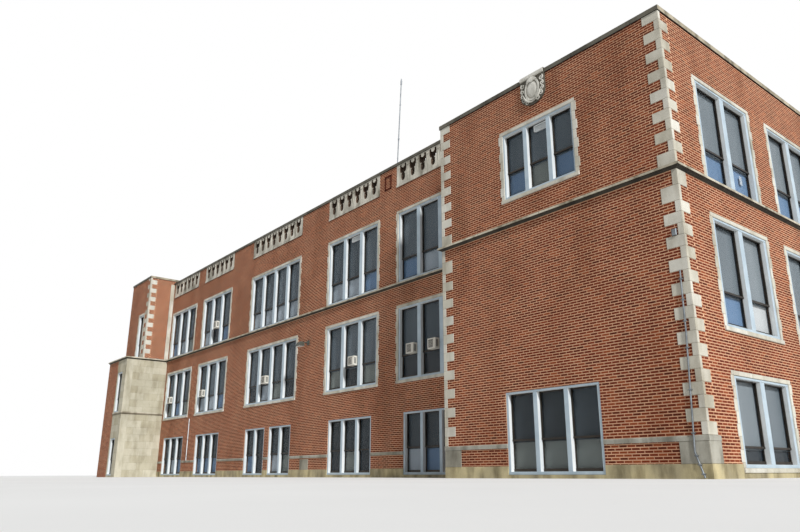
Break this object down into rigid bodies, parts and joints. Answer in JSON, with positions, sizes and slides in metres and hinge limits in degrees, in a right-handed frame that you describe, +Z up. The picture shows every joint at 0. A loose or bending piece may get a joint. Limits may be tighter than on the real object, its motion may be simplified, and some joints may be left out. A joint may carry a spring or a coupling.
{
  "type": "three-storey brick school building, end wing and classroom range",
  "caption": "Brick school building: a forward end wing with stone quoins beside a classroom range with pierced stone parapet panels.",
  "frame": {"origin": "middle of the building's plan, at ground level", "axes": "+X to the right along the street front, +Y from the front into the building, +Z up"},
  "size_m": [39.6, 19.74, 16.5595],
  "materials": {
    "brick": "matt fired clay brick in light mortar",
    "limestone": "sawn limestone, weathered",
    "window_frame": "satin pale enamel",
    "window_glass": "clear sealed panes",
    "concrete": "trowelled concrete",
    "roofing": "mineral felt on concrete",
    "cooler_case": "stoved enamel",
    "mast": "galvanised steel"
  },
  "bodies": {
    "root": {"wing_front_wall": "brick", "wing_right_wall": "brick", "wing_back_wall": "brick", "wing_left_returns": "brick", "wing_left_parapet": "brick", "range_front_wall": "brick", "range_back_wall": "brick", "range_parapet_piers": "brick", "pavilion_brick_front": "brick", "pavilion_brick_side": "brick", "pavilion_side_parapet": "brick", "party_wall": "brick", "plinth": "limestone", "base_blocks": "limestone", "band_course": "limestone", "string_course": "limestone", "wing_quoins": "limestone", "wing_coping": "limestone", "range_coping": "limestone", "cartouche": "limestone", "parapet_panel_1": "limestone", "parapet_panel_2": "limestone", "parapet_panel_3": "limestone", "parapet_panel_4": "limestone", "parapet_panel_5": "limestone", "wing_front_surrounds": "limestone", "wing_right_surrounds": "limestone", "range_front_surrounds": "limestone", "back_surrounds": "limestone", "pavilion_stone_front": "limestone", "pavilion_stone_side": "limestone", "pavilion_ledge": "limestone", "pavilion_quoins": "limestone", "pavilion_coping": "limestone", "wing_front_frames": "window_frame", "wing_right_frames": "window_frame", "range_front_frames": "window_frame", "back_frames": "window_frame", "wing_front_glass": "window_glass", "wing_right_glass": "window_glass", "range_front_glass": "window_glass", "back_glass": "window_glass", "wing_floors": "concrete", "range_floors": "concrete", "pavilion_floors": "concrete", "wing_roof": "roofing", "range_roof": "roofing", "pavilion_roof": "roofing", "air_conditioners": "cooler_case", "roof_mast": "mast", "floodlight": "mast"}
  },
  "joints": []
}
